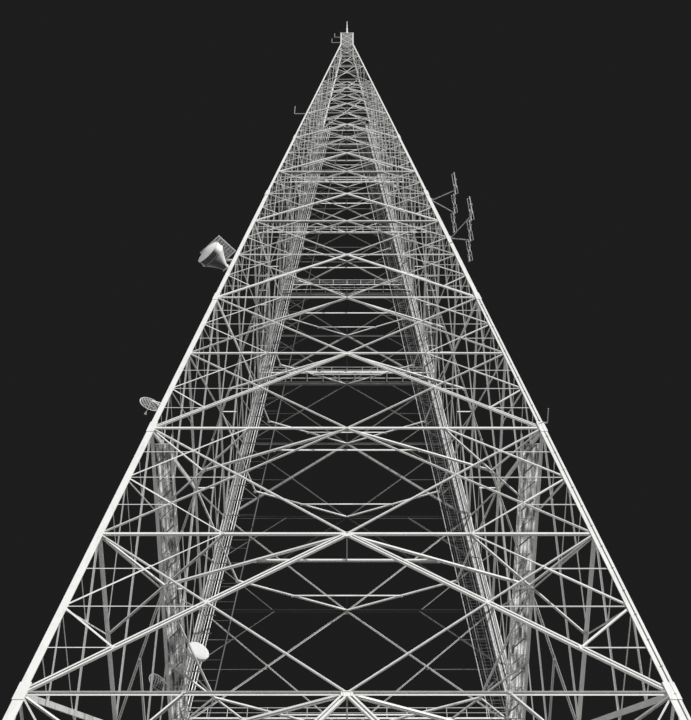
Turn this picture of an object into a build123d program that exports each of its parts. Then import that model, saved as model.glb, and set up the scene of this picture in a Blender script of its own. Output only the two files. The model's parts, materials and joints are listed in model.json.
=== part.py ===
from build123d import *
from math import atan2, cos, degrees, pi, radians, sin, sqrt
import os

# Self-supporting square lattice radio tower, a model at a tenth of full size.
# The tower is drawn about its own upright axis, with the front face towards -Y,
# and is then set down with the front left foot on the origin. Millimetres, +Z up.

# Outline of the tower
base_half_width = 1822.0      # from the axis to the outer face of a leg at the ground
rise_per_run = 10.26          # each face leans in by one in this much height
portal_height = 2612.0        # ground to the first level
base_panel_height = 2612.0    # first level to the second
panel_ratio = 1.0             # height of a panel over the half width at its foot
lower_panels = 4              # panels of the lower bracing above the second level
middle_panels = 12
crossed_panels = 5            # middle panels that have the light arms too
top_panel_ratio = 2.76
top_panels = 4
crown_height = 410.0          # upright stretch on top of the taper
crown_panels = 2
spire_height = 710.0
spire_widths = (30.0, 24.0, 18.0, 12.0, 8.0)
cap_thickness = 8.0
cap_overhang = 4.0
finial_height = 24.0

# Legs: angle sections, lighter in steps on the way up
leg_thickness = 5.0
leg_flanges = (44.0, 36.0, 31.0, 27.0, 19.0, 13.0)
crown_flange = 11.0
splice_lap = 60.0
splice_plate = 3.0

# Feet
foot_side = 200.0
foot_thickness = 24.0
foot_rib_height = 90.0
foot_rib_thickness = 12.0
foot_rib_reach = 50.0
foot_rim = 62.0               # plate beyond the outer faces of the leg

# Face bracing: bars of one thickness in each tier, fused where they cross
lower_bar_thickness = 10.0
middle_bar_thickness = 7.0
top_bar_thickness = 4.0
lower_main_bar = 26.0         # heavy arms, in every other panel
lower_chord = 20.0            # level chords where the heavy arms start
lower_light_bar = 12.0        # arms between the panels of heavy ones
lower_thin_bar = 8.0
middle_main_bar = 17.0
middle_chord = 12.0
middle_light_bar = 8.0
middle_thin_bar = 6.0
top_bar = 6.0
work_line_inset = 14.0        # outer corner of a leg to the line that the arms aim at
corner_clearance = 3.0        # between the bars of two faces at a corner
seat_clearance = 0.3          # between pieces that meet

# Level frames inside the tower
frame_bar = 18.0
frame_thickness = 12.0
star_point = 0.75             # knots near the corners, in shares of the half width

# Walkways and railings
walkway_width = 95.0
walkway_thickness = 6.0
railing_height = 100.0
railing_post_pitch = 400.0
railing_tube = 6.0
railing_post = 4.0

# Ladders up the inner side of the back face
cable_ladder_width = 130.0
climbing_ladder_width = 70.0
ladder_corner_offset = 90.0   # from the outer corner of the leg to the near rail
ladder_rail = 8.0
ladder_depth = 14.0
ladder_rung = 6.0
ladder_rung_pitch = 900.0
ladder_notch_clearance = 4.0

# Large shrouded dish on the front left leg, with its ice shield
dish_rise = 0.71              # share of the panel above the lower bracing's top
dish_heading = 226.0          # degrees from +X, counted towards +Y
dish_radius = 96.0
dish_hub_radius = 22.0
dish_sides = 24
dish_cone_length = 115.0
dish_shroud_length = 50.0
dish_standoff = 32.0
shield_width = 190.0
shield_length = 165.0
shield_above_rim = 30.0
shield_bar = 6.0
shield_slats = 6
shield_arm = 150.0

bracket_plate = 8.0
bracket_bar = 12.0
arm_short_of_hub = 10.0       # where the arms end, inside the bracket's plate

# Small dishes
grid_dish_radius = 58.0
walkway_dish_radius = 70.0
walkway_grid_radius = 66.0
small_dish_depth = 24.0
small_dish_shell = 4.0
small_dish_flat = 0.45        # flat middle over the rim, in radius
small_dish_sides = 16
feed_reach = 95.0
feed_bar = 4.0
leg_arm_inset = 14.0          # from the corner of a leg to the middle of an arm
grid_dish_rise = 0.30         # share of the panel above the lower walkway
grid_dish_heading = 137.0
grid_dish_reach = 58.0
mount_pad = 20.0
drum_heading = -60.0
drum_depth = 32.0
drum_standoff = 66.0          # from the railing to the middle of the drum's back
drum_share = 0.57             # along the left railing, in shares of its half length
face_dish_heading = 130.0
face_dish_standoff = 62.0
face_dish_share = 0.66        # along the left face, in shares of its half width

# Dipole arrays beside the front right leg: a level boom with upright rods
array_rises = (0.49, 0.77)    # of the boom, in shares of the second and third middle panel
array_panels = (1, 2)
array_standoffs = (145.0, 185.0)
array_overhangs = (250.0, 160.0)
boom_length = 450.0
boom_bar = 8.0
boom_plate = 26.0
arm_bar = 6.0
arm_shares = (0.2, 0.62)      # where the arms meet the boom, from its front end
rod_bar = 6.0
rod_pitch = 80.0
rod_length = 200.0
front_rod_length = 320.0

# Whips
whip_width = 5.0
whip_arm = 6.0
right_whip_rise = 80.0        # above the lower walkway's level
right_whip_reach = 30.0
right_whip_length = 90.0
left_whip_reach = 110.0
left_whip_length = 210.0
crown_whip_shares = (0.66, 0.16)
crown_whip_reaches = (70.0, 100.0)
crown_whip_length = 150.0

slope_length = sqrt(1 + 1 / rise_per_run**2)   # along a face for each unit of height


def half_width(height):
    """Half width over the outer faces at a height on the taper."""
    return base_half_width - height / rise_per_run


def next_level(height, ratio):
    """Height of the level above, for a panel in proportion to its foot."""
    return height + ratio * half_width(height)


# Heights of the levels, from the ground up
first_level = portal_height
second_level = first_level + base_panel_height
lower_levels = [first_level, second_level]
for _ in range(lower_panels):
    lower_levels.append(next_level(lower_levels[-1], panel_ratio))
middle_levels = [lower_levels[-1]]
for _ in range(middle_panels):
    middle_levels.append(next_level(middle_levels[-1], panel_ratio))
top_levels = [middle_levels[-1]]
for _ in range(top_panels):
    top_levels.append(next_level(top_levels[-1], top_panel_ratio))
taper_top = top_levels[-1]
crown_top = taper_top + crown_height
crown_half_width = half_width(taper_top)

lower_walkway_level = lower_levels[3]
middle_walkway_level = middle_levels[2]
upper_walkway_level = middle_levels[4]
frame_levels = [first_level, second_level, lower_walkway_level, lower_levels[5],
                middle_walkway_level, upper_walkway_level]

foot_centre = base_half_width + foot_rim - foot_side / 2
set_down = Location((foot_centre, foot_centre, 0))

os.makedirs("parts", exist_ok=True)


def save(name, solid):
    """Set a finished piece down beside the origin, label it and write it."""
    placed = solid.moved(set_down)
    placed.label = name
    export_step(placed, f"parts/{name}.step")


def save_round(name, solid, sides):
    """Write four copies of a piece, a quarter turn apart."""
    for turn, side in enumerate(sides):
        with BuildPart() as copy:
            add(solid, rotation=(0, 0, 90 * turn))
        save(f"{side}_{name}", copy.part)


faces = ("front", "right", "back", "left")
corners = ("front_left", "front_right", "back_right", "back_left")


def bar(start, end, width):
    """Flat bar between two points of the open sketch."""
    first, last = Vector(*start), Vector(*end)
    run = last - first
    with Locations((first + last) / 2):
        Rectangle(run.length, width, rotation=degrees(atan2(run.Y, run.X)))


def face_point(share, height):
    """Point of a face at a share of the width between the legs' work lines."""
    return (share * (half_width(height) - work_line_inset), height * slope_length)


def face_plane(depth):
    """Plane of the front face, a depth inwards of its outer surface."""
    outer = Plane(origin=(0, -base_half_width, 0), x_dir=(1, 0, 0),
                  z_dir=(0, -1, 1 / rise_per_run))
    return outer.offset(-depth)


def face_window(bottom, top, bar_thickness):
    """Keep what lies between two heights and clear of the bars of the next faces."""
    inset = (leg_thickness + bar_thickness) * slope_length + corner_clearance
    low, high = half_width(bottom) - inset, half_width(top) - inset
    Polygon((-low, bottom * slope_length), (low, bottom * slope_length),
            (high, top * slope_length), (-high, top * slope_length),
            align=None, mode=Mode.INTERSECT)


# --- Legs -----------------------------------------------------------------------------
def leg_profile(height, flange, half):
    """Angle section at the front left corner, heel outwards."""
    with BuildSketch(Plane.XY.offset(height)) as profile:
        with Locations((-half, -half)):
            Rectangle(flange, leg_thickness, align=(Align.MIN, Align.MIN))
            Rectangle(leg_thickness, flange, align=(Align.MIN, Align.MIN))
    return profile.sketch


up_the_corner = Vector(1 / rise_per_run, 1 / rise_per_run, 1)
leg_steps = [foot_thickness, second_level, lower_walkway_level, lower_levels[-1],
             middle_levels[3], middle_levels[6], taper_top]

with BuildPart() as leg:
    for bottom, top, flange in zip(leg_steps, leg_steps[1:], leg_flanges):
        extrude(leg_profile(bottom, flange, half_width(bottom)),
                amount=(top - bottom) * up_the_corner.length, dir=up_the_corner.normalized())
    extrude(leg_profile(taper_top, crown_flange, crown_half_width), amount=crown_height)
    for joint, flange in zip(leg_steps[1:-1], leg_flanges):
        foot_of_plates = joint - splice_lap
        cover = leg_profile(foot_of_plates, flange + splice_plate,
                            half_width(foot_of_plates) + splice_plate)
        extrude(cover, amount=2 * splice_lap * up_the_corner.length,
                dir=up_the_corner.normalized())
save_round("leg", leg.part, corners)

# --- Feet -----------------------------------------------------------------------------
with BuildPart() as foot:
    with Locations((-foot_centre, -foot_centre, 0)):
        Box(foot_side, foot_side, foot_thickness, align=(Align.CENTER, Align.CENTER, Align.MIN))
    low = half_width(foot_thickness) + seat_clearance
    high = half_width(foot_thickness + foot_rib_height) + seat_clearance
    rib_middle = base_half_width - leg_flanges[0] / 2
    for plane in (Plane(origin=(0, -rib_middle, 0), x_dir=(1, 0, 0), z_dir=(0, -1, 0)),
                  Plane(origin=(-rib_middle, 0, 0), x_dir=(0, 1, 0), z_dir=(1, 0, 0))):
        with BuildSketch(plane):
            Polygon((-low, foot_thickness), (-low - foot_rib_reach, foot_thickness),
                    (-high, foot_thickness + foot_rib_height), align=None)
        extrude(amount=foot_rib_thickness / 2, both=True)
save_round("foot", foot.part, corners)


# --- Face bracing ---------------------------------------------------------------------
def brace_panel(bottom, top, arm, thin, chord, upwards, crossed=True):
    """One panel: arms that meet at a chord's middle, thin arms across them, top chord."""
    apex, foot_of_arms = (top, bottom) if upwards else (bottom, top)
    for side in (-1, 1):
        bar(face_point(side, foot_of_arms), face_point(0, apex), arm)
        if crossed:
            bar(face_point(side, apex), face_point(0, foot_of_arms), thin)
    bar(face_point(-1, top), face_point(1, top), chord)


with BuildPart() as portal:
    with BuildSketch(face_plane(leg_thickness)):
        for side in (-1, 1):
            bar(face_point(side, 0), face_point(0, first_level), lower_main_bar)
            for quarters in (1, 2, 3):
                level = quarters * first_level / 4
                on_leg = face_point(side, level)
                bar(on_leg, face_point(side * (4 - quarters) / 4, level), lower_thin_bar)
                bar(on_leg, face_point(side * (5 - quarters) / 4, level - first_level / 4),
                    lower_thin_bar)
        bar(face_point(-1, first_level), face_point(1, first_level), lower_chord)
        above_foot = foot_thickness + (leg_thickness + lower_bar_thickness) / rise_per_run
        face_window(above_foot, first_level + lower_chord / 2, lower_bar_thickness)
    extrude(amount=-lower_bar_thickness)
save_round("portal", portal.part, faces)

with BuildPart() as lower_bracing:
    with BuildSketch(face_plane(leg_thickness)):
        for index, (bottom, top) in enumerate(zip(lower_levels, lower_levels[1:])):
            if index == 0 or index % 2 == 1:
                brace_panel(bottom, top, lower_main_bar, lower_thin_bar, lower_light_bar, True)
            else:
                brace_panel(bottom, top, lower_light_bar, lower_thin_bar, lower_chord, False)
        face_window(first_level + lower_chord / 2 + seat_clearance,
                    lower_levels[-1] + lower_chord / 2, lower_bar_thickness)
    extrude(amount=-lower_bar_thickness)
save_round("lower_bracing", lower_bracing.part, faces)

with BuildPart() as middle_bracing:
    with BuildSketch(face_plane(leg_thickness)):
        for index, (bottom, top) in enumerate(zip(middle_levels, middle_levels[1:])):
            crossed = index < crossed_panels
            if index % 2 == 0:
                brace_panel(bottom, top, middle_main_bar, middle_thin_bar, middle_light_bar,
                            True, crossed)
            else:
                brace_panel(bottom, top, middle_light_bar, middle_thin_bar, middle_chord,
                            False, crossed)
        face_window(lower_levels[-1] + lower_chord / 2 + seat_clearance,
                    middle_levels[-1] + middle_chord / 2, middle_bar_thickness)
    extrude(amount=-middle_bar_thickness)
save_round("middle_bracing", middle_bracing.part, faces)

with BuildPart() as top_bracing:
    with BuildSketch(face_plane(leg_thickness)):
        for bottom, top in zip(top_levels, top_levels[1:]):
            bar(face_point(-1, bottom), face_point(1, top), top_bar)
            bar(face_point(1, bottom), face_point(-1, top), top_bar)
            bar(face_point(-1, top), face_point(1, top), top_bar)
        face_window(middle_levels[-1] + middle_chord / 2 + seat_clearance,
                    taper_top, top_bar_thickness)
    extrude(amount=-top_bar_thickness)
save_round("top_bracing", top_bracing.part, faces)

with BuildPart() as crown_bracing:
    crown_step = crown_height / crown_panels
    inner = crown_half_width - leg_thickness - top_bar_thickness - corner_clearance
    crown_plane = Plane(origin=(0, -crown_half_width + leg_thickness, taper_top),
                        x_dir=(1, 0, 0), z_dir=(0, -1, 0))
    with BuildSketch(crown_plane):
        for index in range(crown_panels):
            bottom = index * crown_step
            top = bottom + crown_step
            chord = top - top_bar / 2
            bar((-inner, bottom), (inner, top), top_bar)
            bar((inner, bottom), (-inner, top), top_bar)
            bar((-inner, chord), (inner, chord), top_bar)
        with Locations((0, crown_height / 2)):
            Rectangle(2 * inner, crown_height - 2 * seat_clearance, mode=Mode.INTERSECT)
    extrude(amount=-top_bar_thickness)
save_round("crown_bracing", crown_bracing.part, faces)


# --- Level frames ---------------------------------------------------------------------
def inner_half(height, bar_thickness):
    """Half width of the clear space inside the bars of the faces."""
    return half_width(height) - (leg_thickness + bar_thickness) * slope_length


def level_frame(level, bar_thickness):
    """Star-shaped plan bracing between the four faces."""
    top = level + frame_thickness / 2
    half = inner_half(top, bar_thickness) - seat_clearance
    knot = star_point * half
    with BuildPart() as frame:
        with BuildSketch(Plane.XY.offset(level - frame_thickness / 2)):
            for turn in range(4):
                with BuildSketch(mode=Mode.PRIVATE) as side:
                    bar((half, -half), (knot, -knot), frame_bar)
                    for hand in (-1, 1):
                        bar((0, -half), (hand * knot, -knot), frame_bar)
                        if level <= lower_walkway_level:
                            bar((hand * half / 2, -half), (hand * knot, -knot), frame_bar)
                add(side.sketch, rotation=90 * turn)
            Rectangle(2 * half, 2 * half, mode=Mode.INTERSECT)
        extrude(amount=frame_thickness)
    return frame.part


for number, level in enumerate(frame_levels, start=1):
    bars = lower_bar_thickness if level <= lower_levels[-1] else middle_bar_thickness
    save(f"level_frame_{number}", level_frame(level, bars))


# --- Walkways -------------------------------------------------------------------------
def walkway(level, bar_thickness, sides):
    """Deck along the inner side of the faces, on the level frame."""
    under = level + frame_thickness / 2
    outer = inner_half(under + walkway_thickness, bar_thickness) - seat_clearance
    inner = outer - walkway_width
    with BuildPart() as deck:
        with BuildSketch(Plane.XY.offset(under)):
            Rectangle(2 * outer, 2 * outer)
            Rectangle(2 * inner, 2 * inner, mode=Mode.SUBTRACT)
            if "front" not in sides:
                with Locations((0, -outer)):
                    Rectangle(2 * inner, 2 * outer, mode=Mode.SUBTRACT)
            for side, width in ((-1, cable_ladder_width), (1, climbing_ladder_width)):
                near_rail = half_width(under) - ladder_corner_offset
                with Locations((side * (near_rail - width / 2), outer)):
                    Rectangle(width + ladder_rail + 2 * ladder_notch_clearance,
                              2 * (ladder_depth + 2 * ladder_notch_clearance), mode=Mode.SUBTRACT)
        extrude(amount=walkway_thickness)
    return deck.part, outer, inner


lower_deck, lower_outer, lower_inner = walkway(
    lower_walkway_level, lower_bar_thickness, ("left", "back", "right"))
save("lower_walkway", lower_deck)
middle_deck, middle_outer, middle_inner = walkway(
    middle_walkway_level, middle_bar_thickness, ("left", "back", "right", "front"))
save("middle_walkway", middle_deck)
upper_deck, upper_outer, upper_inner = walkway(
    upper_walkway_level, middle_bar_thickness, ("left", "back", "right", "front"))
save("upper_walkway", upper_deck)


def railing(level, half, sides):
    """Posts and a top rail along the inner edge of a deck."""
    floor = level + frame_thickness / 2 + walkway_thickness
    run = half + railing_tube / 2
    count = round(2 * run / railing_post_pitch)
    with BuildPart() as rail:
        for turn in sides:
            angle = 90 * turn
            with Locations(Location((0, 0, floor), (0, 0, angle))):
                with Locations([(2 * run * (index / count - 0.5), -run, 0)
                                for index in range(count + 1)]):
                    Box(railing_post, railing_post, railing_height - railing_tube / 2,
                        align=(Align.CENTER, Align.CENTER, Align.MIN))
                with Locations((0, -run, railing_height)):
                    Box(2 * run + railing_tube, railing_tube, railing_tube,
                        align=(Align.CENTER, Align.CENTER, Align.MAX))
    return rail.part


save("lower_railing", railing(lower_walkway_level, lower_inner, (1, 2, 3)))
save("middle_railing", railing(middle_walkway_level, middle_inner, (0, 1, 2, 3)))
save("upper_railing", railing(upper_walkway_level, upper_inner, (0, 1, 2, 3)))


# --- Cap and spire --------------------------------------------------------------------
with BuildPart() as cap:
    with Locations((0, 0, crown_top)):
        cap_side = 2 * (crown_half_width + cap_overhang)
        Box(cap_side, cap_side, cap_thickness, align=(Align.CENTER, Align.CENTER, Align.MIN))
    with Locations((0, 0, crown_top + cap_thickness)):
        with GridLocations(2 * crown_half_width, 2 * crown_half_width, 2, 2):
            Box(cap_overhang, cap_overhang, finial_height,
                align=(Align.CENTER, Align.CENTER, Align.MIN))
save("crown_cap", cap.part)

with BuildPart() as spire:
    stage = spire_height / len(spire_widths)
    for index, width in enumerate(spire_widths):
        with BuildSketch(Plane.XY.offset(crown_top + cap_thickness + index * stage)):
            RegularPolygon(width / 2, 8)
        extrude(amount=stage)
save("spire", spire.part)


# --- Ladders --------------------------------------------------------------------------
ladder_room = (2 * ladder_corner_offset + cable_ladder_width + climbing_ladder_width
               + 2 * ladder_rail)
ladder_top = [level for level in middle_levels + top_levels[1:]
              if 2 * half_width(level) > ladder_room][-1]


def ladder(side, width):
    """Two rails and rungs up the inner side of the back face, beside a leg."""
    back = inner_half(foot_thickness, lower_bar_thickness) - seat_clearance
    near_rail = half_width(foot_thickness) - ladder_corner_offset
    lean = Vector(-side / rise_per_run, -1 / rise_per_run, 1)
    rise = ladder_top - foot_thickness
    with BuildPart() as piece:
        with BuildSketch(Plane.XY.offset(foot_thickness)):
            for rail in (near_rail, near_rail - width):
                with Locations((side * rail, back)):
                    Rectangle(ladder_rail, ladder_depth, align=(Align.CENTER, Align.MAX))
        extrude(amount=rise * lean.length, dir=lean.normalized())
        rungs = int(rise / ladder_rung_pitch)
        foot = Vector(side * (near_rail - width / 2), back - ladder_depth / 2, foot_thickness)
        with Locations([foot + lean * (ladder_rung_pitch * (index + 0.5))
                        for index in range(rungs)]):
            Box(width, ladder_rung, ladder_rung)
    return piece.part


save("cable_ladder", ladder(-1, cable_ladder_width))
save("climbing_ladder", ladder(1, climbing_ladder_width))

# --- Large dish on the front left leg -------------------------------------------------
dish_height = lower_levels[-1] + dish_rise * (middle_levels[1] - middle_levels[0])
ahead = Vector(cos(radians(dish_heading)), sin(radians(dish_heading)), 0)
aside = Vector(ahead.Y, -ahead.X, 0)
leg_outer = half_width(dish_height)
dish_hub = Vector(-leg_outer - dish_standoff, -leg_outer + leg_flanges[2] / 2, dish_height)
dish_plane = Plane(origin=dish_hub, x_dir=aside, z_dir=ahead)


def bowl(plane, flat_radius, radius, cone_depth, depth, sides):
    """Many-sided drum whose back tapers in to a flat, with its axis along the plane's normal."""
    with BuildPart() as piece:
        with BuildSketch(plane):
            RegularPolygon(radius, sides)
        extrude(amount=depth)
        back = piece.faces().sort_by(Axis(plane.origin, plane.z_dir)).first
        chamfer(back.edges(), length=(radius - flat_radius) * cos(pi / sides), length2=cone_depth,
                reference=back)
    return piece.part


rim_depth = dish_cone_length + dish_shroud_length
large_dish = bowl(dish_plane, dish_hub_radius, dish_radius, dish_cone_length, rim_depth, dish_sides)
save("large_dish", large_dish)

with BuildPart() as dish_bracket:
    with BuildSketch(dish_plane):
        Rectangle(2 * dish_hub_radius, 2 * dish_hub_radius)
    extrude(amount=-bracket_plate)
    for drop in (-1, 1):
        height = dish_height + drop * (dish_hub_radius - bracket_bar)
        start = -half_width(height - bracket_bar / 2) - seat_clearance
        reach = start - dish_hub.X - arm_short_of_hub
        with Locations((start, dish_hub.Y, height)):
            Box(reach, bracket_bar, bracket_bar, align=(Align.MAX, Align.CENTER, Align.CENTER))
save("dish_bracket", dish_bracket.part)

with BuildPart() as shield:
    middle = dish_hub + ahead * (rim_depth - shield_length / 2)
    roof_height = dish_height + dish_radius + shield_above_rim
    roof = Plane(origin=(middle.X, middle.Y, roof_height), x_dir=ahead, z_dir=(0, 0, 1))
    with BuildSketch(roof):
        Rectangle(shield_length, shield_width)
        Rectangle(shield_length - 2 * shield_bar, shield_width - 2 * shield_bar,
                  mode=Mode.SUBTRACT)
        with GridLocations(shield_length / (shield_slats + 1), 0, shield_slats, 1):
            Rectangle(shield_bar / 2, shield_width)
    extrude(amount=shield_bar)
    arm_root = -half_width(roof_height - bracket_bar) - seat_clearance
    with Locations((arm_root, dish_hub.Y, roof_height)):
        Box(shield_arm, bracket_bar, bracket_bar, align=(Align.MAX, Align.CENTER, Align.MAX))
save("dish_ice_shield", shield.part)


# --- Small dishes ---------------------------------------------------------------------
def thin_dish(vertex, heading, radius):
    """Shallow dish that looks along a heading, with its feed on a thin arm."""
    look = Vector(cos(radians(heading)), sin(radians(heading)), 0)
    back = Plane(origin=vertex, x_dir=(-look.Y, look.X, 0), z_dir=look)
    flat_radius = radius * small_dish_flat
    outside = bowl(back, flat_radius, radius, small_dish_depth, small_dish_depth + small_dish_shell,
                   small_dish_sides)
    inside = bowl(back.offset(small_dish_shell), flat_radius, radius, small_dish_depth,
                  2 * small_dish_depth, small_dish_sides)
    with BuildPart() as piece:
        add(outside)
        add(inside, mode=Mode.SUBTRACT)
        with Locations(Location(vertex + look * feed_reach / 2, (0, 0, heading))):
            Box(feed_reach, feed_bar, feed_bar)
        with Locations(Location(vertex + look * feed_reach, (0, 0, heading))):
            Box(3 * feed_bar, 3 * feed_bar, 3 * feed_bar)
    return piece


def leg_bracket(side, height, reach, bar_size=bracket_bar):
    """Arm that stands out sideways from the outer face of a front leg."""
    low = height - bar_size / 2
    root = side * (half_width(low) + seat_clearance)
    with Locations((root, -half_width(height) + leg_arm_inset, height)):
        Box(reach, bar_size, bar_size,
            align=(Align.MIN if side > 0 else Align.MAX, Align.CENTER, Align.CENTER))


def leg_arm_end(side, height, reach):
    """Outer end of such an arm."""
    low = height - bracket_bar / 2
    return Vector(side * (half_width(low) + seat_clearance + reach),
                  -half_width(height) + leg_arm_inset, height)


grid_dish_height = lower_walkway_level + grid_dish_rise * (lower_levels[4] - lower_walkway_level)
grid_dish_end = leg_arm_end(-1, grid_dish_height, grid_dish_reach)
grid_dish = thin_dish(grid_dish_end, grid_dish_heading, grid_dish_radius)
with BuildPart() as small_grid_dish:
    add(grid_dish.part)
    leg_bracket(-1, grid_dish_height, grid_dish_reach + small_dish_shell)
save("leg_grid_dish", small_grid_dish.part)

# --- Dishes at the lower walkway ------------------------------------------------------
rail_top = lower_walkway_level + frame_thickness / 2 + walkway_thickness + railing_height
drum_at = Vector(-lower_inner + seat_clearance, drum_share * lower_inner, 0)
with BuildPart() as walkway_dish:
    with Locations((drum_at.X, drum_at.Y, rail_top)):
        Box(drum_standoff + mount_pad / 2, mount_pad, mount_pad,
            align=(Align.MIN, Align.CENTER, Align.MAX))
    look = Vector(cos(radians(drum_heading)), sin(radians(drum_heading)), 0)
    back = Plane(origin=(drum_at.X + drum_standoff, drum_at.Y, rail_top - mount_pad / 2),
                 x_dir=(-look.Y, look.X, 0), z_dir=look)
    with BuildSketch(back):
        RegularPolygon(walkway_dish_radius, dish_sides)
    extrude(amount=drum_depth)
save("walkway_dish", walkway_dish.part)

face_dish_height = lower_walkway_level
face_dish_vertex = Vector(-half_width(face_dish_height) - face_dish_standoff,
                          face_dish_share * half_width(face_dish_height), face_dish_height)
with BuildPart() as walkway_grid_dish:
    add(thin_dish(face_dish_vertex, face_dish_heading, walkway_grid_radius).part)
    chord_outside = half_width(face_dish_height - bracket_bar / 2) - leg_thickness * slope_length
    chord_face = -chord_outside - seat_clearance
    with Locations((chord_face, face_dish_vertex.Y, face_dish_height)):
        Box(chord_face - face_dish_vertex.X, bracket_bar, bracket_bar,
            align=(Align.MAX, Align.CENTER, Align.CENTER))
save("walkway_grid_dish", walkway_grid_dish.part)


# --- Dipole arrays --------------------------------------------------------------------
def dipole_array(height, standoff, overhang):
    """Boom of upright rods, held off the front right leg by two arms."""
    corner = half_width(height)
    boom_x = corner + standoff
    front_y = -corner - overhang
    plate_x = half_width(height - boom_plate / 2) + seat_clearance
    plate_y = -corner + leg_arm_inset
    with BuildPart() as piece:
        with Locations((boom_x, front_y, height)):
            Box(boom_bar, boom_length, boom_bar, align=(Align.CENTER, Align.MIN, Align.CENTER))
        with Locations((plate_x, plate_y, height)):
            Box(bracket_plate, boom_plate, boom_plate,
                align=(Align.MIN, Align.CENTER, Align.CENTER))
        start = Vector(plate_x + bracket_plate / 2, plate_y, height)
        for share in arm_shares:
            run = Vector(boom_x, front_y + share * boom_length, height) - start
            with Locations(Location(start + run / 2, (0, 0, degrees(atan2(run.Y, run.X))))):
                Box(run.length, arm_bar, arm_bar)
        rods = int(boom_length / rod_pitch) + 1
        for index in range(rods):
            length = front_rod_length if index == 0 else rod_length
            with Locations((boom_x, front_y + rod_bar / 2 + index * rod_pitch, height)):
                Box(rod_bar, rod_bar, length)
    return piece.part


for index, name in enumerate(("lower_dipole_array", "upper_dipole_array")):
    panel_foot, panel_top = middle_levels[array_panels[index]:array_panels[index] + 2]
    boom_height = panel_foot + array_rises[index] * (panel_top - panel_foot)
    save(name, dipole_array(boom_height, array_standoffs[index], array_overhangs[index]))


# --- Whips ----------------------------------------------------------------------------
def whip(side, height, reach, size, align):
    """Rod on an arm from a front leg, set on the arm's end by its alignment."""
    end = leg_arm_end(side, height, reach)
    with BuildPart() as piece:
        leg_bracket(side, height, reach, whip_arm)
        with Locations(end):
            Box(*size, align=align)
    return piece.part


forwards = (Align.CENTER, Align.MAX, Align.CENTER)
upright = (Align.CENTER, Align.CENTER, Align.MIN)
save("right_whip", whip(1, lower_walkway_level + right_whip_rise, right_whip_reach,
                        (whip_width, right_whip_length, whip_width), forwards))
save("left_whip", whip(-1, middle_levels[8], left_whip_reach,
                       (whip_width, whip_width, left_whip_length), upright))

with BuildPart() as crown_whips:
    for share, reach in zip(crown_whip_shares, crown_whip_reaches):
        height = taper_top + share * crown_height
        root = Vector(-crown_half_width - seat_clearance,
                      -crown_half_width + crown_flange / 2, height)
        with Locations(root):
            Box(reach, whip_arm, whip_arm, align=(Align.MAX, Align.CENTER, Align.CENTER))
        with Locations(root - Vector(reach, 0, whip_arm / 2)):
            Box(whip_width, whip_width, crown_whip_length,
                align=(Align.MIN, Align.CENTER, Align.MIN))
save("crown_whips", crown_whips.part)
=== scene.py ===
import json
from math import copysign, cos, pi, radians, sin, sqrt, tau

import bmesh
import bpy
from mathutils import Matrix, Vector


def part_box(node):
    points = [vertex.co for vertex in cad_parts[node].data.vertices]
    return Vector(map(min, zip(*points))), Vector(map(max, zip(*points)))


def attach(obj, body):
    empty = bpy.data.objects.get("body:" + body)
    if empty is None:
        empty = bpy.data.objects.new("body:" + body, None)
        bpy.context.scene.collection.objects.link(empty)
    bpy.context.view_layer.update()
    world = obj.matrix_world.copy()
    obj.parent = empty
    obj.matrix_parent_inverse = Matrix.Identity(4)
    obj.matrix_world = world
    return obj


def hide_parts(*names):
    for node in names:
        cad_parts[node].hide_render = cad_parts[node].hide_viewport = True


# Looks for the lattice tower. Lengths are in metres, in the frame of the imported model.
# Each face is drawn as the front face about the tower's axis, then turned and set down.

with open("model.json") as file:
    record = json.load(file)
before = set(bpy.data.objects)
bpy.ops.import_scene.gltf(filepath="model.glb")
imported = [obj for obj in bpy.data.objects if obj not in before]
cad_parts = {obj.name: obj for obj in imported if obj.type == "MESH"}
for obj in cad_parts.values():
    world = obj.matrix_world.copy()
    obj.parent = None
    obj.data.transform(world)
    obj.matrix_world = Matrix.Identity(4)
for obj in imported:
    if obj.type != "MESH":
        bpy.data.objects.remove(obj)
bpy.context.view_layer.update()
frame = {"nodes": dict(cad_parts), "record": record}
nodes = frame["nodes"]
scene = bpy.context.scene


def add_object(name, data):
    made = bpy.data.objects.new(name, data)
    scene.collection.objects.link(made)
    return made


# --- camera
camera_height = 0.1255
camera_in_front = 5.5077  # from the tower's axis, towards -Y
camera_pitch = 62.05  # degrees above level
camera_lens = 81.39
camera_shift = -0.0021

spire_low, spire_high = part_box("spire")
axis = Vector(((spire_low.x + spire_high.x) / 2, (spire_low.y + spire_high.y) / 2, 0))

optics = bpy.data.cameras.new("camera")
optics.sensor_width = 36.0
optics.sensor_fit = "AUTO"
optics.lens = camera_lens
optics.shift_x = camera_shift
optics.clip_end = 1500.0
camera = add_object("camera", optics)
camera.location = axis + Vector((0, -camera_in_front, camera_height))
camera.rotation_euler = (radians(90 + camera_pitch), 0, 0)
scene.camera = camera

# --- outline
base_half_width = 1.822
rise_per_run = 10.26
portal_height = 2.612
lower_panels, middle_panels, top_panels, crown_panels = 4, 12, 4, 2
top_panel_ratio = 2.76
crown_height = 0.410
leg_thickness = 0.005
leg_flanges = (0.044, 0.036, 0.031, 0.027, 0.019, 0.013)
work_line_inset = 0.014

lean = sqrt(1 + 1 / rise_per_run ** 2)
outwards = Vector((0, -1, 1 / rise_per_run)).normalized()
up_axis = Vector((0, 0, 1))
corner_signs = ((-1, -1), (1, -1), (1, 1), (-1, 1))


def half_width(height):
    """Half width over the outer faces at a height on the taper."""
    return base_half_width - height / rise_per_run


def leg_line(height):
    """From a face's middle to the line on which its members meet the leg."""
    return half_width(height) - work_line_inset


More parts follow.
